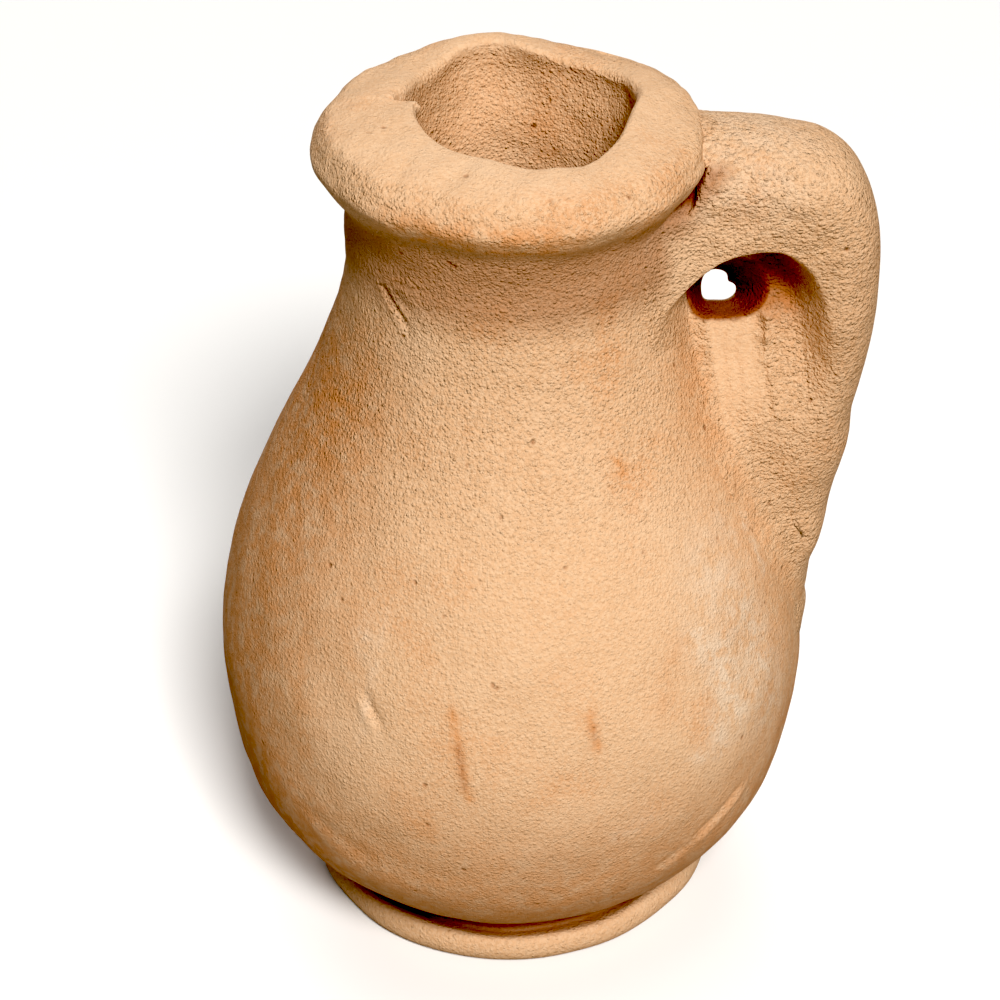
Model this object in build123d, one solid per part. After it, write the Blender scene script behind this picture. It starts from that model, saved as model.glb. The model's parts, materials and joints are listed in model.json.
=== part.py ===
"""A small hand-made clay jug with one pierced handle, in millimetres, +Z up.

The origin is on the jug's own axis, at the centre of the foot's underside. The handle stands out along +X.
The pieces are the lumps of clay that the potter joins while they are soft: the thrown body, the thick rim
coil, the foot disc, the pierced handle, and the two dabs of luting clay that hold the handle on.
"""

import os

from build123d import *

# Heights, counted from the surface that the jug stands on
overall_height = 60.0
rim_height = 8.5
belly_height = 17.0
foot_height = 2.4
groove_height = 1.0

# Outer radii
belly_radius = 20.2
neck_radius = 10.1
rim_radius = 12.2
base_radius = 13.9
foot_radius = 14.2
groove_radius = 12.9
base_slope = 1.0

# Walls and hollows
belly_wall = 3.2
floor_thickness = 3.0
hollow_slope = 0.7
mouth_radius = 7.3
neck_bore_length = 4.5
mouth_edge = 0.5
rim_crest_width = 1.8
rim_widest_drop = 3.0
rim_flare = 0.15
foot_edge = 0.8

# Handle
handle_reach = 23.4
handle_width = 8.4
handle_top_drop = 2.3
handle_edge = 2.4
bend_radius = 7.0
tail_height = 24.0
tail_stand_out = 1.0
root_depth = 1.5

# The hollow pressed into each side of the handle, and the eye pierced through what is left between them
strap_thickness = 4.0
scoop_corner = 3.5
scoop_margin = 1.8
scoop_bottom = 35.0
web_thickness = 3.4
eye_radius = 1.9
eye_offset = 3.3
eye_drop = 5.2

# Luting clay
slit_gap = 0.6
rim_join_width = 6.6
rim_join_drop = 5.4
tail_join_height = 0.7
tail_join_reach = 1.4
tail_join_ball_radius = 9.0
tail_join_drop = 3.0

# The wall between the belly and the neck, as shares of the rise and of the difference in radius
WALL_SHAPE = ((0.26, 0.88), (0.5, 0.59), (0.73, 0.22))

base_height = foot_height + groove_height
neck_top = overall_height - rim_height
handle_top = overall_height - handle_top_drop
eye_x = neck_radius + eye_offset
eye_z = neck_top - eye_drop


def revolved(outline):
    """A solid turned round Z from a closed outline with x as the radius, its seam away from the handle."""
    return Rot(0, 0, 180) * revolve(make_face(Plane.XZ * Curve(outline)), Axis.Z)


def flat_shape(outline, half_width):
    """A slab of a closed outline in the XZ plane, half_width thick to each side of that plane."""
    face = make_face(Plane.XZ * Curve(outline))
    return extrude(face, half_width, dir=(0, 1, 0)) + extrude(face, half_width, dir=(0, -1, 0))


def wall_line(bottom, widest, top, start_slope):
    """A jug's side as a spline: out from bottom to widest, then in through WALL_SHAPE to an upright top."""
    rise = top[1] - widest[1]
    fall = widest[0] - top[0]
    shoulder = [(top[0] + fall * fullness, widest[1] + rise * share) for share, fullness in WALL_SHAPE]
    return Spline(bottom, widest, *shoulder, top, tangents=[(1, start_slope), (0, 1)])


def body_side(grow=0.0):
    """The thrown body's outer line, from the foot's groove up to the rim's seat, grown sideways by grow."""
    return wall_line(
        (base_radius + grow, base_height),
        (belly_radius + grow, belly_height),
        (neck_radius + grow, neck_top),
        start_slope=base_slope,
    )


def body_radius_at(height):
    """The thrown body's outer radius at one height."""
    return body_side().find_intersection_points(Axis((0, height, 0), (1, 0, 0)))[0].X


def body_envelope(grow=0.0):
    """The thrown body's outer shape with no hollow, grown sideways by grow."""
    side = body_side(grow)
    return revolved(
        [
            Line((0, base_height), side @ 0),
            side,
            Line(side @ 1, (0, neck_top)),
            Line((0, neck_top), (0, base_height)),
        ]
    )


def body():
    """The thrown wall: belly, shoulder and neck, with a flat floor and a straight bore in the neck."""
    floor_top = base_height + floor_thickness
    bore_bottom = neck_top - neck_bore_length
    inside = wall_line(
        (base_radius - belly_wall, floor_top),
        (belly_radius - belly_wall, belly_height + floor_thickness / 2),
        (mouth_radius, bore_bottom),
        start_slope=hollow_slope,
    )
    hollow = revolved(
        [
            Line((0, floor_top), inside @ 0),
            inside,
            Line(inside @ 1, (mouth_radius, neck_top)),
            Line((mouth_radius, neck_top), (0, neck_top)),
            Line((0, neck_top), (0, floor_top)),
        ]
    )
    return body_envelope() - hollow


def rim_line(grow=0.0):
    """The rim coil's outer line, from its seat on the neck, out round the lip and in to its crest."""
    return Spline(
        (neck_radius + grow, neck_top),
        (rim_radius + grow, overall_height - rim_widest_drop),
        (mouth_radius + rim_crest_width, overall_height + grow),
        tangents=[(rim_flare, 1), (-1, 0)],
    )


def rim_envelope(grow=0.0):
    """The rim coil's outer shape with no bore, grown by grow."""
    side = rim_line(grow)
    crest = (side @ 1).Y
    return revolved(
        [
            Line((0, neck_top), side @ 0),
            side,
            Line(side @ 1, (0, crest)),
            Line((0, crest), (0, neck_top)),
        ]
    )


def rim():
    """The thick coil that makes the lip, bored by the mouth, with a round edge at the mouth."""
    side = rim_line()
    lip = (mouth_radius + mouth_edge, overall_height)
    bore_end = (mouth_radius, overall_height - mouth_edge)
    edge = TangentArc(lip, bore_end, tangent=(-1, 0))
    return revolved(
        [
            Line((mouth_radius, neck_top), side @ 0),
            side,
            Line(side @ 1, lip),
            edge,
            Line(bore_end, (mouth_radius, neck_top)),
        ]
    )


def foot():
    """The foot disc with its round upper edge, and the pad on it that leaves a groove under the belly."""
    upright = (Align.CENTER, Align.CENTER, Align.MIN)
    disc = Cylinder(foot_radius, foot_height, align=upright)
    disc = fillet(disc.edges().sort_by(Axis.Z)[-1], foot_edge)
    return disc + Cylinder(groove_radius, base_height, align=upright)


def handle_slab():
    """The strap and web as one lump with round outer edges, running on into the neck and the belly."""
    bend_start = (handle_reach - bend_radius, handle_top)
    bend_end = (handle_reach, handle_top - bend_radius)
    tail = (body_radius_at(tail_height) + tail_stand_out, tail_height)
    back = TangentArc(bend_end, tail, tangent=(0, -1))
    root = (neck_radius - root_depth, handle_top)
    tip = back @ 1 + 2 * root_depth * (back % 1)
    inner_corner = (root[0], tip.Y)
    outer = [
        Line(root, bend_start),
        TangentArc(bend_start, bend_end, tangent=(1, 0)),
        back,
        Line(back @ 1, tip),
    ]
    slab = flat_shape([*outer, Line(tip, inner_corner), Line(inner_corner, root)], handle_width / 2)
    flat_sides = slab.faces().filter_by(Axis.Y)
    hidden_edges = slab.faces().sort_by(Axis.X)[0].edges() + slab.faces().sort_by(Axis.Z)[0].edges()
    return fillet(flat_sides.edges() - hidden_edges, handle_edge)


def scoop(side):
    """The hollow thumbed into one side of the handle, fading out downwards. side is 1 or -1 along Y."""
    top = eye_z + eye_radius + scoop_margin
    ramp_top = eye_z - eye_radius - scoop_margin
    inner_edge = handle_reach - strap_thickness
    from_corner = (Align.MIN, Align.CENTER, Align.MIN)
    window = Pos(0, 0, scoop_bottom) * Box(inner_edge, 2 * handle_width, top - scoop_bottom, align=from_corner)
    corner = window.edges().filter_by(Axis.Y).sort_by(Axis.Z)[-2:].sort_by(Axis.X)[-1]
    window = fillet(corner, scoop_corner)
    web_face = side * web_thickness / 2
    rim_face = side * handle_width / 2
    far_face = side * handle_width
    wedge = Polyline(
        (0, web_face, top),
        (0, web_face, ramp_top),
        (0, rim_face, scoop_bottom),
        (0, far_face, scoop_bottom),
        (0, far_face, top),
        close=True,
    )
    return window & extrude(make_face(wedge), inner_edge, dir=(1, 0, 0))


def handle():
    """The pierced strap handle, seated on the neck and the belly, with a slit between it and the rim."""
    eye = Pos(eye_x, 0, eye_z) * Rot(90, 0, 0) * Cylinder(eye_radius, 2 * handle_width)
    return handle_slab() - scoop(1) - scoop(-1) - eye - body_envelope() - rim_envelope(slit_gap)


def rim_join():
    """The strip of luting clay that fills the upper part of the slit between the rim and the handle."""
    window = Pos(0, 0, handle_top - rim_join_drop) * Box(
        2 * handle_reach, rim_join_width, rim_join_drop, align=(Align.CENTER, Align.CENTER, Align.MIN)
    )
    return (rim_envelope(slit_gap) - rim_envelope()) & window & handle_slab()


def tail_join():
    """The low dab of luting clay pressed on to the belly round the handle's tail: a cap of a ball."""
    middle = tail_height - tail_join_drop
    ball_x = body_radius_at(middle) + tail_join_height - tail_join_ball_radius
    ball = Pos(ball_x, 0, middle) * Sphere(tail_join_ball_radius)
    skin = body_envelope(tail_join_reach) - body_envelope()
    return (skin & ball) - handle_slab()


parts = {
    "body": body(),
    "rim": rim(),
    "foot": foot(),
    "handle": handle(),
    "rim_join": rim_join(),
    "tail_join": tail_join(),
}

os.makedirs("parts", exist_ok=True)
for name, shape in parts.items():
    export_step(shape, f"parts/{name}.step")
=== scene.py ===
import json
import math

import bpy
import numpy as np
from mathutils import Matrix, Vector


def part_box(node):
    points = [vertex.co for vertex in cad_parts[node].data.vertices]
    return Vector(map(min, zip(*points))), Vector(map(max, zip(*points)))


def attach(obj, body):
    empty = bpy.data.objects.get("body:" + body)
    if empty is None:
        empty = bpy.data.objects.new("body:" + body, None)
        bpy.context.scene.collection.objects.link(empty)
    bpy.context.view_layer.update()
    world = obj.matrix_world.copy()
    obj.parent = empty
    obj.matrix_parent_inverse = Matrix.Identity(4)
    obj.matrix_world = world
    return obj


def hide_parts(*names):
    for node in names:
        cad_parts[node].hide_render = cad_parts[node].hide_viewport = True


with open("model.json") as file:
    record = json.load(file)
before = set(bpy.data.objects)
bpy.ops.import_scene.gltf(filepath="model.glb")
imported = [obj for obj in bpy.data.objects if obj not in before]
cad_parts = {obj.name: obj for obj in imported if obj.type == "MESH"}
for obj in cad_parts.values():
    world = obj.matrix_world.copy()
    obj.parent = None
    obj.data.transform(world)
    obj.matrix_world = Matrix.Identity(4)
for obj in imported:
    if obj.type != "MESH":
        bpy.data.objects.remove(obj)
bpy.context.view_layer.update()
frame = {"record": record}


# ---- The thrown body ----
# The jug's wall: a flat floor, a round belly that is widest low down, and a narrow neck.
# It is unglazed buff-red clay, thrown very small and wiped with a wet hand, so it wavers all over.

MM = 0.001
body_low, body_high = (np.array(corner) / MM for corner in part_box("body"))
mounts = {mount["name"]: mount for mount in frame["record"]["mounts"]}
belly_radius = -body_low[0]
body_bottom = body_low[2]
neck_top = body_high[2]
bore_radius = mounts["mouth"]["dims"]["r_mm"]
COLUMNS = 480
angles = np.linspace(-180.0, 180.0, COLUMNS, endpoint=False)

# Radius over height, as shares of the belly's radius and of the body's height
WALL = (
    (0.000, 0.680),
    (0.018, 0.716),
    (0.055, 0.803),
    (0.096, 0.872),
    (0.137, 0.926),
    (0.220, 0.980),
    (0.300, 0.998),
    (0.387, 0.983),
    (0.470, 0.941),
    (0.553, 0.881),
    (0.636, 0.798),
    (0.720, 0.704),
    (0.803, 0.610),
    (0.886, 0.536),
    (0.945, 0.506),
    (1.000, 0.502),
)

# Scratches in the wall: angle, height, angle, height, half-width, depth, and height of the burr beside it
SCRATCHES = (
    (-143.4, 51.0, -126.6, 48.2, 0.17, 0.30, 0.10),
    (-138.6, 51.0, -124.0, 49.3, 0.15, 0.22, 0.06),
    (-120.6, 26.9, -114.4, 24.4, 0.26, 0.28, 0.14),
    (-52.0, 13.0, -38.6, 15.7, 0.34, 0.20, 0.16),
    (-60.5, 11.2, -52.0, 13.0, 0.40, 0.10, 0.08),
    (-131.9, 15.6, -117.0, 13.2, 0.80, 0.12, 0.04),
)

# Stains on the wall: kind, angle, height, angle, height, half-width, strength. Rust is red iron in the clay,
# deep its dark core, and bloom pale salts
STAINS = (
    ("reddened", -101.4, 27.0, -97.6, 20.8, 0.32, 0.95),
    ("deep", -99.9, 24.6, -98.4, 21.6, 0.22, 0.45),
    ("deep", -74.4, 25.6, -74.0, 24.6, 0.20, 0.3),
    ("reddened", -74.8, 26.6, -73.7, 24.0, 0.32, 0.9),
    ("reddened", -58.6, 40.9, -58.0, 40.2, 0.42, 0.9),
    ("reddened", -137.4, 28.5, -132.0, 20.0, 1.5, 0.55),
    ("reddened", -128.0, 33.0, -124.0, 27.0, 1.3, 0.35),
    ("reddened", -112.0, 20.5, -104.0, 17.0, 1.2, 0.35),
    ("reddened", -60.0, 25.5, -54.0, 29.0, 1.0, 0.35),
    ("reddened", -33.0, 20.5, -24.0, 22.5, 1.3, 0.5),
    ("reddened", -40.0, 17.5, -31.0, 18.5, 0.9, 0.5),
    ("bloom", -48.5, 29.2, -47.0, 27.6, 1.3, 0.8),
    ("bloom", -43.8, 27.0, -41.5, 22.5, 2.0, 0.9),
    ("bloom", -34.0, 28.0, -31.0, 23.5, 2.0, 0.85),
    ("bloom", -47.8, 22.6, -46.5, 20.6, 1.0, 0.8),
    ("bloom", -40.0, 31.5, -30.0, 21.0, 3.2, 0.62),
    ("bloom", -54.4, 21.0, -46.8, 20.2, 0.5, 0.7),
    ("bloom", -23.1, 33.0, -22.4, 29.1, 0.35, 0.8),
    ("bloom", -27.0, 31.5, -33.0, 35.0, 0.6, 0.45),
    ("bloom", -70.0, 16.6, -64.0, 17.4, 0.5, 0.5),
    ("bloom", -122.4, 30.3, -121.0, 29.4, 0.7, 0.5),
    ("bloom", -117.6, 32.0, -119.4, 22.5, 0.3, 0.35),
)

# Open pores and chips in the wall: angle, height, radius
PITS = (
    (-27.2, 39.0, 0.22),
    (-54.2, 36.7, 0.2),
    (-74.1, 29.2, 0.18),
    (-60.2, 18.5, 0.22),
    (-67.1, 14.9, 0.24),
    (-80.1, 17.1, 0.2),
    (-96.0, 43.0, 0.16),
    (-131.0, 38.0, 0.18),
    (-66.0, 36.0, 0.15),
    (40.0, 30.0, 0.25),
    (85.0, 22.0, 0.3),
    (120.0, 35.0, 0.2),
    (160.0, 18.0, 0.25),
)


def through(places, values, at):
    """A smooth line through values at rising places: a cubic between each two, with the slope at a place
    taken from the values on each side of it. Past the end places it keeps the end values. values may have
    more axes after the first."""
    places, values = np.array(places, float), np.array(values, float)
    slope = np.gradient(values, places, axis=0)
    at = np.clip(np.asarray(at, float), places[0], places[-1])
    i = np.clip(np.searchsorted(places, at) - 1, 0, len(places) - 2)
    step = places[i + 1] - places[i]
    t = (at - places[i]) / step
    more = (...,) + (None,) * (values.ndim - 1)
    t, step = t[more], step[more]
    start = (2 * t**3 - 3 * t**2 + 1) * values[i] + (t**3 - 2 * t**2 + t) * step * slope[i]
    return start + (3 * t**2 - 2 * t**3) * values[i + 1] + (t**3 - t**2) * step * slope[i + 1]


def fade(x, start, end):
    """0 before start, 1 after end, and a smooth step between them. It falls instead where end < start."""
    t = np.clip((x - start) / (end - start), 0.0, 1.0)
    return t * t * (3 - 2 * t)


def waver(points, size, seed, waves=20):
    """Soft unevenness at points in mm: a sum of sine waves about size mm long, each in its own direction,
    scaled to a spread of about 1."""
    draw = np.random.default_rng(seed)
    direction = draw.normal(size=(waves, 3))
    direction /= np.linalg.norm(direction, axis=1, keepdims=True)
    rate = 2 * np.pi / (size * draw.uniform(0.7, 1.6, waves))
    start = draw.uniform(0, 2 * np.pi, waves)
    total = np.zeros(points.shape[:-1])
    for k in range(waves):
        total += np.sin(points @ (direction[k] * rate[k]) + start[k])
    return total / math.sqrt(waves / 2)


def polar(angle, radius, height):
    """Points in mm from an angle in degrees round Z, a radius and a height."""
    turn = np.radians(angle)
    return np.stack(np.broadcast_arrays(radius * np.cos(turn), radius * np.sin(turn), height), axis=-1)


def turned_radius(height):
    """The wall's radius in mm at heights in mm, before any unevenness."""
    return belly_radius * through(*zip(*WALL), (height - body_bottom) / (neck_top - body_bottom))


def stroke(angle, height, a0, z0, a1, z1):
    """Distances in mm along and beside a straight stroke on the wall from (a0, z0) to (a1, z1), and its
    length. Sideways, an angle is turned into mm at the radius of the stroke's middle."""
    at_stroke = turned_radius((z0 + z1) / 2)
    across = (np.mod(angle - a0 + 180, 360) - 180) * np.radians(at_stroke)
    run_across, run_up = (a1 - a0) * np.radians(at_stroke), z1 - z0
    length = math.hypot(run_across, run_up)
    along = (across * run_across + (height - z0) * run_up) / length
    return along, (across * run_up - (height - z0) * run_across) / length, length


def wall_relief(angle, height, radius):
    """How far the wall stands out of its turned shape, in mm: a slow waver, small lumps, a swelling low
    down at the left, faint turning lines on the neck, the scratches as bell-shaped grooves with a burr
    beside them, and round pits."""
    points = polar(angle, radius, height)
    relief = 0.13 * waver(points, 22.0, 1) + 0.035 * waver(points, 6.0, 2) + 0.012 * waver(points, 2.4, 3)
    relief += 0.35 * np.cos(np.radians(angle + 175)).clip(0) ** 2 * np.exp(-(((height - 10.0) / 5.5) ** 2))
    relief += 0.015 * np.sin(height * 4.1 + 0.7 * waver(points, 14.0, 4)) * fade(height, 38.0, 49.0)
    for a0, z0, a1, z1, width, depth, burr in SCRATCHES:
        along, aside, length = stroke(angle, height, a0, z0, a1, z1)
        reach = fade(along, -0.2, 0.8) * fade(along, length + 0.3, length - 1.2)
        relief -= depth * reach * np.exp(-((aside / width) ** 2))
        relief += burr * reach * np.exp(-(((aside - 2.0 * width) / width) ** 2))
    for a0, z0, size in PITS:
        along, aside, _ = stroke(angle, height, a0, z0, a0 + 1.0, z0)
        relief -= 0.7 * size * np.exp(-(along**2 + aside**2) / size**2)
    return relief


def wall_radius(angle, height):
    """The outer wall's radius in mm at angles in degrees and heights in mm."""
    radius = turned_radius(height)
    return radius + wall_relief(angle, height, radius)


def stains(kind, angle, height):
    """The strength, 0 to 1, of one kind of stain over the wall: soft strokes that fade at their ends."""
    total = np.zeros_like(height)
    for name, a0, z0, a1, z1, width, strength in STAINS:
        if name == kind:
            along, aside, length = stroke(angle, height, a0, z0, a1, z1)
            past = np.maximum(np.abs(along - length / 2) - length / 2, 0)
            total = np.maximum(total, strength * np.exp(-(past**2 + aside**2) / width**2))
    return total


def wall_shades(angle, height):
    """The wall's four masks, 0 to 1. Reddening: its rust stains, and painted shade that makes it redder at
    the
    left, by the handle and low down. Bloom: its stains. Darkening: painted shade under the rim, at the foot,
    and a little at the left and low down, and its deep stains. Polish: the belly, which was wiped smoother
    than the neck."""
    left_side = fade(np.abs(np.mod(angle + 355, 360) - 180), 60, 20)
    handle_side = fade(np.abs(np.mod(angle + 160, 360) - 180), 70, 35)
    below_neck = fade(height, 51.0, 41.0)
    # Painted shade: the sides and the bottom, which face away from the light, are made redder and darker
    redder_in_shade = (0.8 * left_side + 0.45 * handle_side) * below_neck + 0.7 * fade(height, 22.0, 8.0)
    darker_in_shade = 0.10 * left_side * below_neck + 0.19 * fade(height, 25.0, 9.0)
    # Painted shade under the rim, and where the body meets the foot
    shade_under_rim = 0.42 * fade(height, 48.0, 51.4) * fade(height, 56.6, 54.4)
    shadow = np.maximum(shade_under_rim, fade(height, body_bottom + 0.9, body_bottom))
    return {
        "reddened": np.maximum(stains("reddened", angle, height), redder_in_shade),
        "bloom": stains("bloom", angle, height),
        "shade_and_stain": np.maximum(np.maximum(shadow, darker_in_shade), stains("deep", angle, height)),
        "polish": 0.35 * fade(height, 42.0, 32.0),
    }


def grid_mesh(name, rows, low_pole=False, high_pole=False, ring=False):
    """A piece from a grid of points in mm, rows x columns x 3, joined round its columns. low_pole and
    high_pole close the first and last rows to a point at their middle; ring joins the last row to the first.
    Faces point outwards when columns run anticlockwise about the way that the rows go."""
    row_count, column_count = rows.shape[:2]
    vertices = rows.reshape(-1, 3)
    index = np.arange(row_count * column_count).reshape(row_count, column_count)
    if ring:
        index = np.vstack([index, index[:1]])
    here, up = index[:-1], index[1:]
    quads = np.stack([here, np.roll(here, -1, 1), np.roll(up, -1, 1), up], axis=-1)
    faces = quads.reshape(-1, 4).tolist()
    for wanted, row, way in ((low_pole, 0, -1), (high_pole, -1, 1)):
        if wanted:
            edge = index[row]
            fan = np.stack([edge, np.roll(edge, -1), np.full(column_count, len(vertices))], axis=-1)[:, ::way]
            vertices = np.vstack([vertices, rows[row].mean(axis=0)])
            faces += fan.tolist()
    mesh = bpy.data.meshes.new(name)
    mesh.from_pydata((vertices * MM).tolist(), [], faces)
    mesh.shade_smooth()
    piece = bpy.data.objects.new(name, mesh)
    bpy.context.scene.collection.objects.link(piece)
    return piece


def paint(piece, name, values):
    """Stores one number for each of a piece's points, for its material to read. Poles get the last value."""
    layer = piece.data.attributes.new(name, "FLOAT", "POINT")
    values = np.ravel(values)
    spare = len(piece.data.vertices) - len(values)
    layer.data.foreach_set("value", np.concatenate([values, np.full(spare, values[-1])]).astype(np.float32))


# The hollow's height and radius, from the floor up to the straight bore in the neck
HOLLOW = (
    (6.4, 12.4),
    (8.0, 14.2),
    (11.0, 15.8),
    (18.0, 17.0),
    (26.0, 15.6),
    (34.0, 12.4),
    (42.0, 8.7),
    (47.0, 7.3),
)

outer_height = np.linspace(body_bottom, neck_top, 148)[:, None] + 0 * angles
outer_angle = angles + 0 * outer_height
outer_radius = wall_radius(outer_angle, outer_height)
outer = polar(angles, outer_radius, outer_height)
# The underside is tucked in and sits in the foot
tuck = outer[:1] * np.array([0.93, 0.93, 1.0]) - np.array([0.0, 0.0, 0.3])
under = np.concatenate([tuck * np.array([share, share, 1.0]) for share in (0.1, 0.6, 1.0)])
inner_height = np.linspace(neck_top, HOLLOW[0][0], 44)[:, None] + 0 * angles
inner_radius = through(*zip(*HOLLOW), np.minimum(inner_height, HOLLOW[-1][0]))
inner_waver = 0.06 * waver(polar(angles, inner_radius, inner_height), 8.0, 5)
inner_radius += inner_waver * fade(inner_height, 51.0, 46.0)
inner = polar(angles, inner_radius, inner_height)
floor_rows = np.concatenate([inner[-1:] * np.array([share, share, 1.0]) for share in (0.6, 0.1)])
body_grid = np.concatenate([under, outer, inner, floor_rows])
body = grid_mesh("thrown_body", body_grid, low_pole=True, high_pole=True)
body.data.set_sharp_from_angle(angle=math.radians(60))
# Painted shade: beneath, the body is dark where it meets the foot, and the hollow is a little darker than
# the wall
shades = wall_shades(outer_angle, outer_height)
for kind, beneath, inside in (("reddened", 0, 0), ("bloom", 0, 0), ("shade_and_stain", 1, 0.2), ("polish", 0, 0)):
    below = np.full((len(under), COLUMNS), float(beneath))
    within = np.full((len(inner) + len(floor_rows), COLUMNS), float(inside))
    paint(body, kind, np.concatenate([below, shades[kind], within]))
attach(body, "root")
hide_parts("body")


def node_group(name, inputs, outputs):
    """An empty shader group with named sockets, each given as (name, kind), and its two end nodes."""
    tree = bpy.data.node_groups.new(name, "ShaderNodeTree")
    for in_out, sockets in (("INPUT", inputs), ("OUTPUT", outputs)):
        for label, kind in sockets:
            tree.interface.new_socket(label, in_out=in_out, socket_type=f"NodeSocket{kind}")
    return tree, tree.nodes.new("NodeGroupInput"), tree.nodes.new("NodeGroupOutput")


def put(tree, kind, inputs=(), **settings):
    """A new node in a tree. settings are its options, and inputs pairs of a socket and a value or a link."""
    node = tree.nodes.new(f"ShaderNode{kind}")
    for key, value in settings.items():
        setattr(node, key, value)
    for key, value in inputs:
        if isinstance(value, bpy.types.NodeSocket):
            tree.links.new(value, node.inputs[key])
        else:
            node.inputs[key].default_value = value
    return node


def noise(tree, position, scale, detail, roughness=0.6, stretch=(1, 1, 1)):
    """A noise texture about 1 / scale metres in size, squeezed along each axis by stretch."""
    squeezed = put(tree, "Mapping", [("Vector", position), ("Scale", stretch)])
    look = [("Scale", scale), ("Detail", detail), ("Roughness", roughness)]
    return put(tree, "TexNoise", [("Vector", squeezed.outputs[0]), *look]).outputs[0]


def ramp(tree, value, low, high, out_low=0.0, out_high=1.0):
    """A value between low and high brought smoothly to between out_low and out_high."""
    limits = [("From Min", low), ("From Max", high), ("To Min", out_low), ("To Max", out_high)]
    return put(tree, "MapRange", [("Value", value), *limits], interpolation_type="SMOOTHSTEP").outputs[0]


def maths(tree, operation, *values):
    """One step of arithmetic on values or links."""
    return put(tree, "Math", list(enumerate(values)), operation=operation).outputs[0]


def blended(tree, share, under_colour, over_colour):
    """One colour laid over another, by a share of 0 to 1."""
    inputs = [("Factor", share), (6, under_colour), (7, over_colour)]
    return put(tree, "Mix", inputs, data_type="RGBA").outputs[2]


def make_clay_surface():
    """Group: the sandy skin of fired clay. Height sums round sand grains of two sizes, softer lumps, wrinkles
    dragged sideways by the wiping hand, and pores; Pores and Grit mark the holes and the pale grains."""
    tree, start, end = node_group(
        "clay_surface",
        [("Position", "Vector"), ("Drag", "Float"), ("Roughen", "Float")],
        [("Height", "Float"), ("Pores", "Float"), ("Grit", "Float")],
    )
    position = start.outputs["Position"]
    grains = []
    for scale in (6500.0, 3800.0):
        sand = put(tree, "TexVoronoi", [("Vector", position), ("Scale", scale), ("Randomness", 1.0)])
        size = put(tree, "SeparateColor", [("Color", sand.outputs["Color"])]).outputs[0]
        grains.append(maths(tree, "MULTIPLY", ramp(tree, sand.outputs["Distance"], 0.75, 0.05), size))
    lumps = noise(tree, position, 3000.0, 3.0, 0.6)
    dragged = noise(tree, position, 2400.0, 3.0, 0.6, stretch=(0.55, 0.55, 1.5))
    cells = put(tree, "TexVoronoi", [("Vector", position), ("Scale", 1100.0)])
    pore_size = ramp(tree, noise(tree, position, 800.0, 0.0), 0.68, 0.8)
    pores = maths(tree, "MULTIPLY", ramp(tree, cells.outputs["Distance"], 0.28, 0.1), pore_size)
    grit = ramp(tree, grains[0], 0.45, 0.8)
    fine, coarse = maths(tree, "MULTIPLY", grains[0], 0.32), maths(tree, "MULTIPLY", grains[1], 0.34)
    grain = maths(tree, "ADD", maths(tree, "ADD", fine, coarse), maths(tree, "MULTIPLY", lumps, 0.5))
    grain = maths(tree, "MULTIPLY", grain, start.outputs["Roughen"])
    wrinkles = maths(tree, "MULTIPLY", dragged, start.outputs["Drag"])
    skin = maths(tree, "ADD", grain, wrinkles)
    height = maths(tree, "SUBTRACT", skin, maths(tree, "MULTIPLY", pores, 0.5))
    for label, value in (("Height", height), ("Pores", pores), ("Grit", grit)):
        tree.links.new(value, end.inputs[label])
    return tree


def make_clay_colour():
    """Group: the fired clay's colour. The base drifts in soft patches to a pale and to a red tone, pores are
    dark and grit is pale. The reddening mask, of rust and painted shade, and the bloom mask are broken up by
    noise before they are laid on; the darkening mask, of painted shade and dark stain cores, is laid on as
    it is."""
    masks = [(label, "Float") for label in ("Patches", "Pores", "Grit", "Reddened", "Bloom", "Shade_And_Stain")]
    colours = [(label, "Color") for label in ("Base", "Pale", "Red", "Deep")]
    inputs = [("Position", "Vector"), *colours, *masks]
    tree, start, end = node_group("clay_colour", inputs, [("Color", "Color")])
    position = start.outputs["Position"]
    patches = start.outputs["Patches"]
    pale = maths(tree, "MULTIPLY", ramp(tree, noise(tree, position, 110.0, 3.0), 0.48, 0.72), patches)
    moved = put(tree, "Mapping", [("Vector", position), ("Location", (0.31, 0.17, 0.53))]).outputs[0]
    red = maths(tree, "MULTIPLY", ramp(tree, noise(tree, moved, 150.0, 4.0), 0.5, 0.75), patches)
    speckle = ramp(tree, noise(tree, moved, 4200.0, 2.0), 0.38, 0.66, 0.0, 0.55)
    colour = blended(tree, pale, start.outputs["Base"], start.outputs["Pale"])
    colour = blended(tree, red, colour, start.outputs["Red"])
    colour = blended(tree, speckle, colour, start.outputs["Pale"])
    broken = ramp(tree, noise(tree, moved, 900.0, 4.0, 0.7), 0.3, 0.62)
    # Rust, and painted shade on the turned-away sides and in the handle's hollow, laid on towards the red
    # tone
    reddened = maths(tree, "MULTIPLY", start.outputs["Reddened"], broken)
    colour = blended(tree, reddened, colour, start.outputs["Red"])
    flecks = ramp(tree, noise(tree, position, 900.0, 5.0, 0.7), 0.36, 0.6, 0.0, 0.8)
    bloom = maths(tree, "MULTIPLY", start.outputs["Bloom"], flecks)
    colour = blended(tree, bloom, colour, (0.76, 0.62, 0.48, 1.0))
    grit = maths(tree, "MULTIPLY", start.outputs["Grit"], 0.35)
    colour = blended(tree, grit, colour, start.outputs["Pale"])
    pores = maths(tree, "MULTIPLY", start.outputs["Pores"], 0.6)
    colour = blended(tree, pores, colour, start.outputs["Deep"])
    # Painted shade, and the dark cores of stains, laid on towards the deep tone
    colour = blended(tree, start.outputs["Shade_And_Stain"], colour, start.outputs["Deep"])
    tree.links.new(colour, end.inputs["Color"])
    return tree


clay_surface = make_clay_surface()
clay_colour = make_clay_colour()


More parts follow.
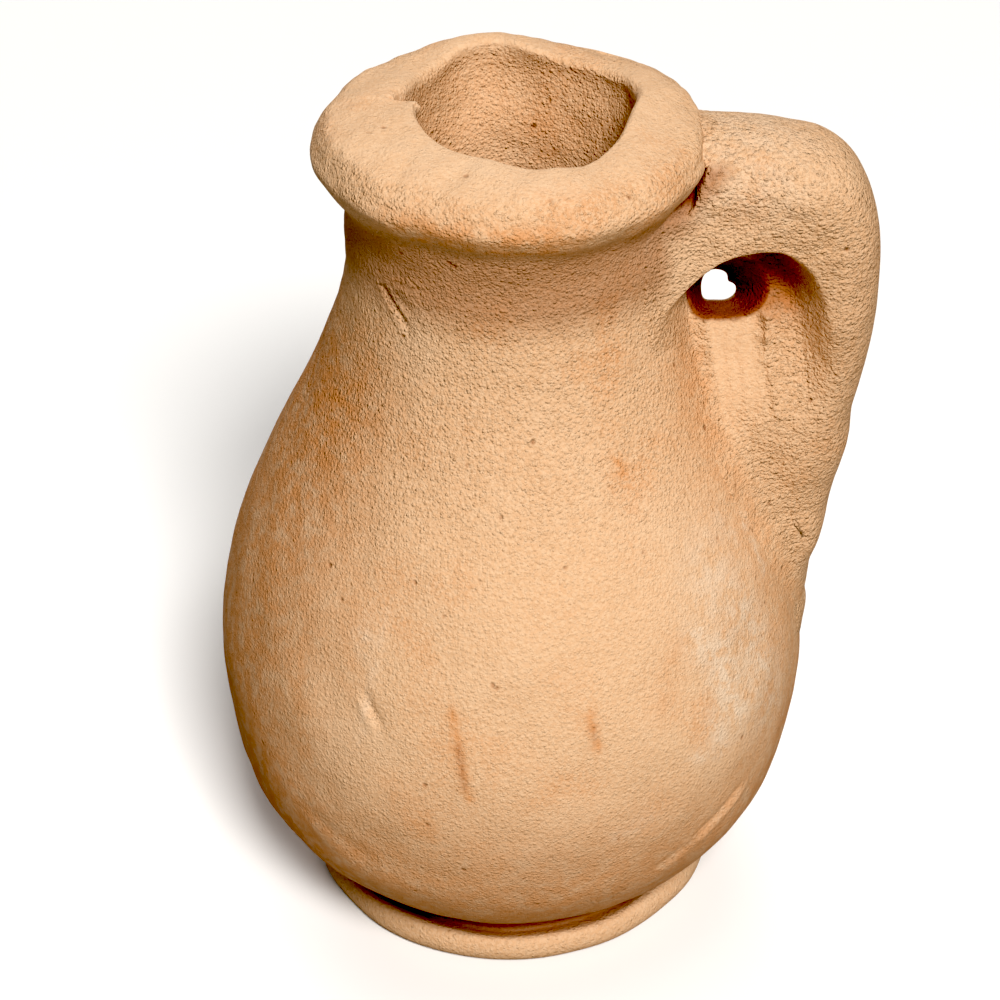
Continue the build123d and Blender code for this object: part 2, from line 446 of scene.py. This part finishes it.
def clay(name, base, pale, red, deep, drag, roughen, patches, bump):
    """A fired-clay material: the surface and colour groups with their own values, and the masks painted on
    the piece. bump is the grain's height in mm. Where the polish mask is high, the clay has been rubbed
    smooth: the grain is lower and the colour paler."""
    material = bpy.data.materials.new(name)
    material.use_nodes = True
    tree = material.node_tree
    shader = tree.nodes["Principled BSDF"]
    position = put(tree, "TexCoord").outputs["Object"]
    surface = put(tree, "Group", node_tree=clay_surface)
    colour = put(tree, "Group", node_tree=clay_colour)
    for node in (surface, colour):
        tree.links.new(position, node.inputs["Position"])
    surface.inputs["Drag"].default_value = drag
    surface.inputs["Roughen"].default_value = roughen
    colour.inputs["Patches"].default_value = patches
    for label, value in (("Base", base), ("Pale", pale), ("Red", red), ("Deep", deep)):
        colour.inputs[label].default_value = (*value, 1.0)
    for label in ("Pores", "Grit"):
        tree.links.new(surface.outputs[label], colour.inputs[label])
    # The first and the last of these masks carry painted shade as well as rust and dark stain cores
    for label in ("Reddened", "Bloom", "Shade_And_Stain"):
        mask = put(tree, "Attribute", attribute_name=label.lower())
        tree.links.new(mask.outputs["Fac"], colour.inputs[label])
    polish = put(tree, "Attribute", attribute_name="polish")
    grainy = maths(tree, "SUBTRACT", 1.0, polish.outputs["Fac"])
    rubbed = maths(tree, "MULTIPLY", polish.outputs["Fac"], 0.45)
    shown = blended(tree, rubbed, colour.outputs["Color"], (*pale, 1.0))
    inputs = [("Height", surface.outputs["Height"]), ("Distance", bump * MM), ("Strength", grainy)]
    raised = put(tree, "Bump", inputs)
    tree.links.new(shown, shader.inputs["Base Color"])
    tree.links.new(raised.outputs[0], shader.inputs["Normal"])
    shader.inputs["Roughness"].default_value = 0.92
    shader.inputs["Specular IOR Level"].default_value = 0.25
    return material


# The clay's own colour, where it is paler, and where iron reddens it, a red also laid on as painted shade;
# and a dark tone for pores, the cores of stains, and painted shade
BUFF = (0.67, 0.415, 0.245)
PALE = (0.75, 0.52, 0.34)
RED = (0.62, 0.27, 0.11)
DEEP = (0.24, 0.060, 0.018)
body.data.materials.append(clay("body_clay", BUFF, PALE, RED, DEEP, 0.15, 1.0, 0.5, 0.24))


# ---- The rim ----
# A thick coil of the same clay set on the neck and turned out into a lip, with a broad worn crest.
# The mouth was opened with a finger: it is a rounded square, off centre, and torn at one side.

rim_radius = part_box("rim")[1][0] / MM

# The mouth's edge: radius in mm at each angle
MOUTH = (
    (-180, 5.85),
    (-160, 5.95),
    (-135, 6.2),
    (-120, 6.4),
    (-104, 6.6),
    (-85, 7.3),
    (-62, 7.95),
    (-50, 7.75),
    (-30, 7.35),
    (-2, 7.4),
    (16, 8.1),
    (30, 8.4),
    (44, 8.4),
    (64, 8.1),
    (82, 8.2),
    (97, 9.0),
    (109, 8.8),
    (121, 8.1),
    (140, 7.4),
    (158, 7.05),
    (169, 7.3),
    (173.5, 7.15),
    (175, 6.1),
    (180, 5.85),
)


def mouth_radius(angle):
    """The mouth's edge radius in mm at angles in degrees."""
    return through(*zip(*MOUTH), angle)


# The rim's side: height in mm, and radius as a share of the lip's
RIM_SIDE = (
    (51.5, 0.832),
    (53.2, 0.836),
    (55.0, 0.885),
    (56.3, 0.965),
    (57.4, 1.0),
    (58.2, 0.965),
    (59.0, 0.88),
)
RIM_SHOULDER = 57.9


def rim_side(angle, height):
    """The rim's outer radius in mm, from its seat on the neck to its shoulder. It starts from the wall's own
    radius and wavers more towards the lip."""
    radius = rim_radius * through(*zip(*RIM_SIDE), height)
    points = polar(angle, radius, height)
    lumps = 0.16 * waver(points, 16.0, 11) + 0.07 * waver(points, 5.0, 12) + 0.02 * waver(points, 1.8, 13)
    seat = wall_radius(angle, np.full_like(height, neck_top)) - rim_radius * RIM_SIDE[0][1]
    return radius + seat * fade(height, 54.5, neck_top) + lumps * fade(height, 52.0, 56.0)


def rim_rows():
    """The rim's section carried round the axis: up its side to the shoulder, over the crest and down the
    bore. The crest is flatter where it meets the handle, and it drops at two places behind. Going down,
    the mouth's edge is evened out and becomes the round bore."""
    side_height = np.linspace(neck_top, RIM_SHOULDER, 40)[:, None] + 0 * angles
    side_radius = rim_side(angles + 0 * side_height, side_height)
    mouth = mouth_radius(angles)
    last = side_radius[-1]
    flat = np.zeros_like(mouth)
    joined = np.exp(-((angles / 24) ** 2))
    worn = np.mean([np.roll(mouth, k) for k in range(-20, 21)], axis=0)
    stops = [
        (last, RIM_SHOULDER + flat),
        (last - 0.45 + 0.4 * joined, 58.7 - 0.2 * joined),
        (last - 1.2 + 0.5 * joined, 59.3 - 0.5 * joined),
        (0.5 * (last - 1.2) + 0.5 * (mouth + 0.5), 59.7 - 0.3 * joined),
        (mouth + 0.5, 59.78 + flat),
        (mouth + 0.08, 59.6 + flat),
        (mouth - 0.05, 59.2 + flat),
        (worn - 0.05, 57.9 + flat),
        (0.65 * worn + 0.35 * bore_radius, 56.0 + flat),
        (0.2 * worn + 0.8 * bore_radius, 53.6 + flat),
        (bore_radius + flat, neck_top + flat),
    ]
    places = np.arange(len(stops))
    at = np.linspace(0, len(stops) - 1, 90)[1:]
    radius = through(places, [stop[0] for stop in stops], at)
    height = through(places, [stop[1] for stop in stops], at)
    points = polar(angles, radius, height)
    lumps = 0.10 * waver(points, 9.0, 14) + 0.05 * waver(points, 3.5, 15) + 0.02 * waver(points, 1.5, 16)
    inside = fade(at, 5.5, 7.0)[:, None]
    hold = fade(at, len(stops) - 1.0, len(stops) - 2.5)[:, None] * fade(at, 0.0, 1.5)[:, None]
    drop = 0.72 * np.exp(-(((angles - 52) / 28) ** 2)) + 0.35 * np.exp(-(((angles - 135) / 24) ** 2))
    height = height + (lumps - drop) * hold * (1 - inside)
    radius = radius + 0.7 * lumps * hold * inside
    return np.concatenate([polar(angles, side_radius, side_height), polar(angles, radius, height)])


rim_grid = rim_rows()
rim = grid_mesh("rim_coil", rim_grid, ring=True)
rim.data.set_sharp_from_angle(angle=math.radians(60))
rim_angle = np.degrees(np.arctan2(rim_grid[..., 1], rim_grid[..., 0]))
rim_reach = np.hypot(rim_grid[..., 0], rim_grid[..., 1])
rim_height = rim_grid[..., 2]
lip_wear = fade(rim_angle, -140, -118) * fade(rim_angle, -62, -80) * fade(rim_height, 54.8, 56.2)
lip_wear *= fade(rim_height, 58.6, 57.4) * fade(rim_reach, 10.8, 11.4)
rim_bore = fade(rim_height, 59.3, 58.0) * fade(rim_reach, 9.8, 9.3)
paint(rim, "reddened", 0.65 * lip_wear + 0.12 * rim_bore)
paint(rim, "polish", 0.4 * fade(rim_height, 58.8, 59.4))
paint(rim, "bloom", 0.1 * fade(rim_height, 58.8, 59.5))
# Painted shade under the lip, only on the outside, which the wall's own painted shade runs on to
paint(rim, "shade_and_stain", wall_shades(rim_angle, rim_height)["shade_and_stain"] * (rim_reach > 9.0))
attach(rim, "root")
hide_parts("rim")
rim.data.materials.append(clay("rim_clay", BUFF, PALE, RED, DEEP, 0.1, 1.0, 0.5, 0.24))


# ---- The foot ----
# A turned disc under the belly, narrower at its top so that a deep groove runs round between the two.
# It was cut from the wheel, so its edge is soft and a little uneven.

foot_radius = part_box("foot")[1][0] / MM
foot_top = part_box("foot")[1][2] / MM

# Section from the middle of the underside out and up to the pad on top: radius as a share, height in mm
FOOT_SIDE = (
    (0.04, 0.12),
    (0.50, 0.10),
    (0.84, 0.06),
    (0.90, 0.00),
    (0.975, 0.04),
    (1.008, 0.35),
    (1.022, 0.90),
    (1.016, 1.50),
    (0.996, 1.98),
    (0.968, 2.06),
    (0.930, 1.84),
    (0.890, 1.86),
    (0.882, foot_top),
    (0.50, foot_top),
    (0.04, foot_top),
)
# Few rows under the foot and on the pad, many round the edge between them
foot_at = np.concatenate([[0, 1, 2], np.linspace(2.3, 12.0, 60), [13, 14]])
foot_share, foot_height = through(np.arange(len(FOOT_SIDE)), FOOT_SIDE, foot_at).T
foot_points = polar(angles, foot_radius * foot_share[:, None], foot_height[:, None])
foot_waver = 0.12 * waver(foot_points, 18.0, 21) + 0.05 * waver(foot_points, 5.0, 22)
foot_edge = fade(foot_share, 0.5, 0.9)[:, None]
foot_rows = polar(angles, foot_radius * foot_share[:, None] + foot_waver * foot_edge, foot_height[:, None])
foot_shoulder = (fade(foot_height, 0.8, 2.0) * fade(foot_height, 3.2, 2.4))[:, None]
foot_rows[..., 2] += 0.06 * waver(foot_points, 9.0, 23) * foot_shoulder
foot = grid_mesh("foot_disc", foot_rows, low_pole=True, high_pole=True)
# Painted shade in the groove between the foot's edge and its pad
groove_shade = 0.5 * fade(foot_share, 0.960, 0.925)[:, None] * (foot_height > 1.2)[:, None] + 0 * angles
paint(foot, "reddened", 0.3 * fade(foot_share, 0.98, 0.93)[:, None] + 0 * angles)
paint(foot, "bloom", np.zeros(foot_rows.shape[:2]))
paint(foot, "shade_and_stain", groove_shade)
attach(foot, "root")
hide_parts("foot")
foot.data.materials.append(clay("foot_clay", BUFF, PALE, RED, DEEP, 0.1, 0.8, 0.4, 0.18))


# ---- The handle ----
# A strap pinched from a lump of clay, set against the rim and drawn down on to the belly.
# The potter pressed a thumb into each side and pushed a stick through, which left an eye beside the neck.

handle_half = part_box("handle")[1][1] / MM
eye_middle = np.array(mounts["eye"]["pos_m"])[[0, 2]] / MM

# The handle's side outline in mm: out over the top, down the outer edge, and up again inside the wall
HANDLE_OUTLINE = (
    (8.4, 55.4),
    (9.2, 57.6),
    (11.0, 58.5),
    (13.0, 58.6),
    (15.2, 58.4),
    (17.3, 58.05),
    (19.3, 57.5),
    (21.0, 56.4),
    (22.1, 54.8),
    (22.9, 52.7),
    (23.3, 50.3),
    (23.4, 47.8),
    (23.4, 45.5),
    (23.2, 43.0),
    (22.8, 40.5),
    (22.42, 38.4),
    (22.38, 36.4),
    (22.15, 34.8),
    (21.75, 33.0),
    (21.45, 31.2),
    (21.25, 29.6),
    (20.95, 28.0),
    (20.55, 26.5),
    (20.42, 25.0),
    (20.3, 23.4),
    (20.1, 21.6),
    (19.6, 20.2),
    (18.7, 19.4),
    (17.8, 20.2),
    (17.4, 22.5),
    (16.95, 25.0),
    (15.9, 29.0),
    (14.0, 33.5),
    (12.1, 38.0),
    (10.3, 42.0),
    (8.9, 45.5),
    (8.2, 49.0),
    (8.1, 52.5),
)
# Points round the outline, and rows over each face, round each edge and through the eye
HANDLE_COLUMNS, FACE_ROWS, EDGE_ROWS, TUNNEL_ROWS = 420, 60, 12, 7
# The strap's section is a superellipse of this power, a little squarer than an oval
STRAP_POWER = 2.3
# The eye's half width and half height in mm, before they are made unequal in front and behind
EYE_WIDE, EYE_TALL = 2.4, 2.1


def closed_line(points, count):
    """count points evenly spaced along a smooth closed line through points, and its unit normals to the
    left of the way that it runs."""
    loop = np.array(points + points[:1] + points[1:2] + points[2:3])
    loop = np.vstack([points[-2], points[-1], loop])
    fine = through(np.arange(len(loop)), loop, np.linspace(2, len(loop) - 3, 4000, endpoint=False))
    step = np.linalg.norm(np.diff(fine, axis=0, append=fine[:1]), axis=1)
    distance = np.concatenate([[0], np.cumsum(step)])
    at = np.linspace(0, distance[-1], count, endpoint=False)
    line = np.stack([np.interp(at, distance, np.append(fine[:, k], fine[0, k])) for k in (0, 1)], axis=-1)
    run = np.roll(line, -2, axis=0) - np.roll(line, 2, axis=0)
    run /= np.linalg.norm(run, axis=1, keepdims=True)
    return line, np.stack([-run[:, 1], run[:, 0]], axis=-1)


def hollow(x, z):
    """The depth, 0 to 1, of the thumbed hollow round the eye: steep under its arched top, sloping softly up
    to the strap's outer edge and to the neck, and fading out down the side."""
    top = through((9, 10.8, 12.75, 14.9, 17.2, 19, 21), (46.5, 49.0, 50.8, 51.6, 51.4, 50.0, 47.5), x)
    left = through((34, 38, 42, 46, 50), (14.0, 12.9, 11.7, 10.9, 10.6), z)
    right = through((33, 38, 42, 46, 50, 53), (20.2, 21.2, 21.2, 20.4, 19.2, 17.5), z)
    under_top = fade(z, top + 0.25, top - 1.0) * fade(z, 34.5, 44.0)
    return under_top * fade(x, right, right - 2.6) * fade(x, left - 0.9, left + 0.5)


def strip_middle(z):
    """The x in mm, at heights in mm, of the middle of the strip that a stick dragged smooth below the eye."""
    return through((37, 45.6), (15.7, 14.2), z)


def jug_radius(angle, height):
    """The jug's outer radius in mm, of the wall below the rim's seat and of the rim above it."""
    on_rim = rim_side(angle, np.clip(height, neck_top, RIM_SIDE[-1][0]))
    return np.where(height < neck_top, wall_radius(angle, height), on_rim)


def handle_rows():
    """The handle's closed surface round its eye, and a mask, 0 to 1, of the crack. Each column is a section:
    out over the front, round the outline's edge, in over the back, and through the eye to the front. The
    edge's section is a superellipse, and the hollows are taken off the half width. Where a point comes near
    the jug's wall, it is moved along the wall: away from the strap by a quarter circle's fillet, or towards
    the strap in the crack under the rim."""
    # The band that rounds the outline's edge: narrow at the tail, and narrowest inside the jug's wall
    line, outward = closed_line(HANDLE_OUTLINE, HANDLE_COLUMNS)
    wall_side = through((19, 22, 30, 38, 44, 50, 58), (19.4, 18.9, 17.0, 13.4, 10.4, 9.2, 9.2), line[:, 1])
    band = 3.2 - 2.4 * fade(line[:, 0] - wall_side, 0.8, -0.3)
    band = np.where(line[:, 1] < 30, np.minimum(band, 1.5), band)
    for _ in range(30):
        band = (np.roll(band, 1) + band + np.roll(band, -1)) / 3

    # The eye is wide and high in front, and behind it is smaller, lower and notched by the stick
    ray = line - eye_middle
    ray /= np.linalg.norm(ray, axis=1, keepdims=True)
    eye_turn = np.arctan2(ray[:, 1], ray[:, 0])
    eye_shape = ray * np.array([EYE_WIDE, EYE_TALL]) * (1 + 0.06 * np.sin(3 * eye_turn + 1.0))[:, None]
    eye_shape[:, 1] *= 1 - 0.26 * (np.minimum(eye_shape[:, 1], 0) / EYE_TALL) ** 2
    front_eye = eye_middle + np.array([0.2, 1.1]) + eye_shape * np.array([1.04, 1.06])
    notch = 1 - 0.30 * np.exp(-(((eye_turn - 0.62) / 0.34) ** 2))
    back_eye = eye_middle + np.array([-0.05, -0.5]) + eye_shape * notch[:, None] * np.array([0.47, 0.74])

    # Rows from the eye's edge to a band inside the outline, and then over the band to the outline
    power = 2 / STRAP_POWER
    share = (np.linspace(0, 1, FACE_ROWS) ** 1.15)[:, None, None]
    turn = np.radians(np.linspace(0, 90, EDGE_ROWS + 1)[1:])
    band_start = line - outward * band[:, None]
    band_in = (band[None, :] * (1 - np.sin(turn) ** power)[:, None])[..., None]
    edge = np.concatenate([np.ones(len(share)), np.maximum(np.cos(turn), 0.0) ** power])[:, None]

    def side(sign, eye_edge):
        """The front (sign -1) or back (sign 1) sheet, as rows from the eye out to the outline, and the
        crack's mask on it."""
        place = np.concatenate([eye_edge * (1 - share) + band_start * share, line - outward * band_in])
        x, z = place[..., 0], place[..., 1]
        # Half the strap's width, and what is left of it in the hollow, whose floor is 1.6 mm lower behind
        half = handle_half * through((19, 24, 34, 44, 60), (0.62, 0.72, 0.93, 1.0, 1.0), z)
        pressed = hollow(x, z)
        floor_z = z + 1.6 * (sign > 0)
        left_over = through((33, 37, 40, 43, 45.4, 47, 50), (4.2, 3.8, 3.3, 2.6, 2.0, 1.3, 0.95), floor_z)
        half = edge * (half - np.maximum(half - left_over, 0) * pressed)
        points = np.stack([x, sign * half, z], axis=-1)
        angle = np.degrees(np.arctan2(points[..., 1], points[..., 0]))
        reach = np.hypot(points[..., 0], points[..., 1])
        clear = reach - jug_radius(angle, z)
        # The fillet on to the wall, as large as size, and the crack that parts the strap from the rim
        size = 2.2 * (1 - 0.85 * pressed) * fade(z, 20, 30) * fade(z, 57.0, 54.5) + 0.3
        near = 1 - np.clip(clear / size, 0, 1)
        spread = size * (1 - np.sqrt(1 - near**2)) * edge
        crack = (sign < 0) * fade(z, 54.2, 55.2) * fade(z, 57.8, 57.2)
        gap = reach - rim_radius + 0.25 * (57.2 - z)
        parted = crack * fade(gap, 0.24, -0.06) * fade(points[..., 1], -1.6, -2.6)
        spread = spread * (1 - crack) - 1.2 * parted * edge
        angle = angle + sign * np.degrees(spread / reach)
        # Lumps where the strap is clear of the wall, but few on the strip that the stick smoothed
        in_strip = (sign < 0) * fade(z, 35.5, 42.0) * fade(z, 46.4, 45.6)
        in_strip *= fade(np.abs(x - strip_middle(z)), 1.9, 1.4)
        loose = fade(clear, 0.0, 1.0) * edge**0.5 * (1 - 0.8 * in_strip)
        lumps = 0.16 * waver(points, 14.0, 31) + 0.06 * waver(points, 4.5, 32)
        lumps += 0.025 * waver(points, 1.6, 33)
        moved = polar(angle, reach, z)
        moved[..., 1] += sign * lumps * loose
        # Fine lines that the stick left down the strip, and a row of crumbs pushed up at its side
        moved[..., 1] += 0.025 * in_strip * np.sin(7.0 * x + 1.5 * np.sin(0.9 * z))
        crumbs = (sign < 0) * np.exp(-(((x - 16.3) / 0.4) ** 2))
        crumbs = crumbs * fade(z, 42.0, 43.5) * fade(z, 46.6, 46.0)
        moved[..., 1] -= 0.13 * crumbs * (1 + waver(points, 0.9, 34))
        return moved, parted

    (front_rows, parted), (back_rows, _) = side(-1, front_eye), side(1, back_eye)
    depth = np.linspace(0, 1, TUNNEL_ROWS + 2)[1:-1, None, None]
    tunnel = front_rows[0] * (1 - depth) + back_rows[0] * depth
    rows = np.concatenate([front_rows, back_rows[::-1][1:], tunnel[::-1]])
    return rows, np.concatenate([parted, np.zeros((len(rows) - len(parted), HANDLE_COLUMNS))])


handle_grid, in_crack = handle_rows()
handle = grid_mesh("pinched_handle", handle_grid, ring=True)

# Masks: painted shade, orange in the thumbed hollow and dark in the eye, the crack and under the arch;
# smooth on the strip
strap_x, strap_y, strap_z = (handle_grid[..., k] for k in range(3))
in_front = (strap_y < 0).astype(float)
deep_in = hollow(strap_x, strap_z) * fade(np.abs(strap_y), 2.6, 1.2)
in_eye = fade(np.linalg.norm(handle_grid - handle_grid[:1], axis=-1), 0.45, 0.1)
in_eye[-TUNNEL_ROWS:] = 1.0
strap_angle = np.degrees(np.arctan2(strap_y, strap_x))
strap_clear = np.hypot(strap_x, strap_y) - jug_radius(strap_angle, strap_z)
# Painted shadow along the seam beside the crack
beside_crack = fade(strap_z, 52.0, 54.5) * fade(strap_z, 57.8, 57.2) * fade(strap_clear, 2.4, 0.6)
beside_crack *= strap_y < -0.8
# Painted shade under the hollow's arched top, stronger in front
under_arch = (0.4 + 0.6 * in_front) * hollow(strap_x, strap_z)
under_arch *= fade(strap_z, 44.6, 48.6) * fade(strap_x, 14.4, 16.0)
# A little painted shade down the strap's outer edge
outer_edge = fade(strap_x, 18.5, 22.0) * fade(strap_z, 56.0, 51.0)
# Painted shade in the eye, the crack, beside it and under the arch
painted_shade = np.maximum.reduce([0.9 * in_eye, 0.95 * in_crack, 0.75 * under_arch, 0.5 * beside_crack])
past_strip = strap_x - np.interp(strap_z, (38, 46), (15.2, 13.4))
# Painted shade in the thumbed hollow, laid on as an orange reddening, stronger in front
hollow_shade_orange = (0.3 + 0.5 * in_front) * deep_in * fade(past_strip, 1.5, 3.0)
across_strip = strap_x - strip_middle(strap_z)
strip = fade(across_strip, -1.9, -1.5) * fade(across_strip, 1.9, 0.7)
strip *= fade(strap_z, 46.2, 45.6) * fade(strap_z, 35.5, 43.0) * in_front * (1 - in_eye)
# Where the handle runs out on to the wall, it takes the wall's own shades
wall = wall_shades(strap_angle, strap_z)
on_wall = fade(strap_clear, 1.0, 0.1)
# The handle's own masks: the reddening and the darkening are painted shade, the bloom and polish its own
own_shades = {
    "reddened": hollow_shade_orange,
    "bloom": 0.3 * fade(strap_z, 52, 56) * fade(strap_x, 20, 16),
    "shade_and_stain": np.maximum(painted_shade, 0.07 * outer_edge),
    "polish": 0.6 * strip,
}
for kind, own in own_shades.items():
    paint(handle, kind, np.maximum(own, on_wall * wall[kind]))
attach(handle, "root")
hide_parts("handle")
handle.data.materials.append(clay("handle_clay", BUFF, PALE, RED, DEEP, 0.6, 1.0, 0.45, 0.32))


# ---- The luting clay ----
# Soft clay pushed into the joints to hold the handle: a lumpy strip along the seam with the rim,
# and a thin dab smeared on to the belly round the handle's tail.

# The seam runs over the strap's own section, from one side of it to the other, along the rim's side
SEAM_LOW, SEAM_RISE, SEAM_HALF, SEAM_RADIUS = 55.12, 3.2, 3.3, 12.0
SEAM_THICK, SEAM_TALL = 0.62, 0.24
seam_turn = np.linspace(-1, 1, 110)
seam_y = SEAM_HALF * np.sin(seam_turn * np.pi / 2)
seam_arch = (1 - np.abs(seam_y / handle_half) ** STRAP_POWER).clip(0) ** (1 / STRAP_POWER)
seam_z = SEAM_LOW + SEAM_RISE * seam_arch
seam_angle = np.degrees(np.arcsin(seam_y / SEAM_RADIUS))
seam_reach = rim_side(seam_angle, np.minimum(seam_z, 57.6)) + 0.05
seam_path = polar(seam_angle, seam_reach, seam_z)
section_turn = np.linspace(0, 2 * np.pi, 36, endpoint=False)
seam_size = np.sqrt(np.clip(1 - np.abs(seam_turn) ** 6, 0.0, 1)) * 0.95 + 0.05
outward = polar(seam_angle, 1.0, 0.0)
upward = np.array([0.0, 0.0, 1.0])
seam_rows = (
    seam_path[:, None]
    + outward[:, None] * (SEAM_THICK * seam_size[:, None] * np.cos(section_turn))[..., None]
    + upward * (SEAM_TALL * seam_size[:, None] * np.sin(section_turn))[..., None]
)
seam_lumps = 0.13 * waver(seam_rows, 3.2, 41) + 0.05 * waver(seam_rows, 1.3, 42)
seam_rows += (seam_rows - seam_path[:, None]) * (2.2 * seam_lumps)[..., None]
# The columns are taken the other way round here and on the dab, so that the faces point outwards
rim_join = grid_mesh("rim_luting", seam_rows[:, ::-1], low_pole=True, high_pole=True)
for kind, value in (("reddened", 0.15), ("bloom", 0.1), ("shade_and_stain", 0.0)):
    paint(rim_join, kind, np.full(seam_rows.shape[:2], value))
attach(rim_join, "root")
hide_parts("rim_join")

# The dab is a flat cushion on the belly: rows go out over its top, then back under it inside the wall
DAB_HEIGHT, DAB_WIDE, DAB_TALL, DAB_THICK = 22.4, 4.4, 3.4, 0.72
TOP_ROWS, UNDER_ROWS = 36, 12
dab_share = np.concatenate([np.linspace(0.03, 1.0, TOP_ROWS), np.linspace(0.97, 0.03, UNDER_ROWS)])
dab_back = np.arange(len(dab_share)) >= TOP_ROWS
dab_turn = np.linspace(0, 2 * np.pi, 120, endpoint=False)
dab_wide = DAB_WIDE * (1 + 0.10 * np.sin(2 * dab_turn + 0.6) + 0.05 * np.sin(5 * dab_turn))
dab_tall = DAB_TALL * (1 + 0.08 * np.sin(3 * dab_turn))
dab_across = dab_share[:, None] * dab_wide * np.cos(dab_turn)
dab_up = DAB_HEIGHT + dab_share[:, None] * dab_tall * np.sin(dab_turn)
dab_angle = np.degrees(dab_across / belly_radius)
dab_middle = (1 - dab_share**2)[:, None]
dab_rise = DAB_THICK * dab_middle**1.6 - 0.10
dab_points = polar(dab_angle, belly_radius, dab_up)
dab_rise = dab_rise + 0.05 * waver(dab_points, 2.5, 43) * dab_middle
dab_rise = np.where(dab_back[:, None], -0.10 - 0.8 * dab_middle, dab_rise)
dab_rows = polar(dab_angle, wall_radius(dab_angle, dab_up) + dab_rise, dab_up)
tail_join = grid_mesh("tail_luting", dab_rows[:, ::-1], low_pole=True, high_pole=True)
for kind, value in (("reddened", 0.1), ("bloom", 0.0), ("shade_and_stain", 0.0)):
    paint(tail_join, kind, np.full(dab_rows.shape[:2], value))
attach(tail_join, "root")
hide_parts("tail_join")
luting_clay = clay("luting_clay", BUFF, PALE, RED, DEEP, 0.6, 1.2, 0.5, 0.36)
for piece in (rim_join, tail_join):
    piece.data.materials.append(luting_clay)


# ---- Floor, light and camera ----
# A plain white floor, a small soft light above and in front, a little to the right, and two weaker ones
# from above and from behind. The floor throws less light back on to the clay than it shows.

floor_mesh = bpy.data.meshes.new("floor")
floor_mesh.from_pydata([(-1.5, -1.5, 0), (1.5, -1.5, 0), (1.5, 1.5, 0), (-1.5, 1.5, 0)], [], [(0, 1, 2, 3)])
floor = bpy.data.objects.new("floor", floor_mesh)
bpy.context.scene.collection.objects.link(floor)
floor_paint = bpy.data.materials.new("floor_paint")
floor_paint.use_nodes = True
floor_tree = floor_paint.node_tree
seen = put(floor_tree, "LightPath").outputs["Is Camera Ray"]
floor_colour = blended(floor_tree, seen, (0.40, 0.39, 0.37, 1), (0.95, 0.945, 0.94, 1))
floor_tree.links.new(floor_colour, floor_tree.nodes["Principled BSDF"].inputs["Base Color"])
floor_tree.nodes["Principled BSDF"].inputs["Roughness"].default_value = 0.9
floor_mesh.materials.append(floor_paint)


def aim(thing, place, target):
    """Puts a light or camera at a place in metres, looking at a target."""
    thing.location = place
    thing.rotation_euler = (Vector(target) - Vector(place)).to_track_quat("-Z", "Y").to_euler()


def soft_light(name, place, size, power, colour):
    """A square area light in metres and watts, aimed at the jug's middle."""
    lamp = bpy.data.lights.new(name, "AREA")
    lamp.size = size
    lamp.energy = power
    lamp.color = colour
    thing = bpy.data.objects.new(name, lamp)
    bpy.context.scene.collection.objects.link(thing)
    aim(thing, place, (0, 0, 0.03))


soft_light("key_light", (0.15, -0.565, 0.68), 0.22, 9.3, (1.0, 0.98, 0.95))
soft_light("top_light", (0.05, 0.02, 0.90), 0.40, 1.0, (1.0, 0.99, 0.97))
soft_light("back_light", (-0.20, 0.80, 0.34), 0.50, 3.4, (1.0, 0.99, 0.97))
world = bpy.data.worlds.new("studio")
world.use_nodes = True
world.node_tree.nodes["Background"].inputs["Color"].default_value = (1.0, 0.99, 0.97, 1)
world.node_tree.nodes["Background"].inputs["Strength"].default_value = 0.10
bpy.context.scene.world = world
# The darkest tones are deepened a little, as a bright studio picture is printed
view = bpy.context.scene.view_settings
view.view_transform = "Standard"
view.use_curve_mapping = True
view.curve_mapping.black_level = (0.07, 0.07, 0.07)
view.curve_mapping.update()

camera_data = bpy.data.cameras.new("camera")
camera_data.lens = 95.56
camera_data.sensor_width = 36
camera_data.shift_x = -0.0112
camera_data.clip_start = 0.01
camera = bpy.data.objects.new("camera", camera_data)
bpy.context.scene.collection.objects.link(camera)
tilt = math.radians(36.27)
camera_distance = 0.180
camera_target = (0.0, 0.0, 0.02981)
camera_rise = camera_distance * math.sin(tilt)
camera_place = (0.0, -camera_distance * math.cos(tilt), camera_target[2] + camera_rise)
aim(camera, camera_place, camera_target)
bpy.context.scene.camera = camera
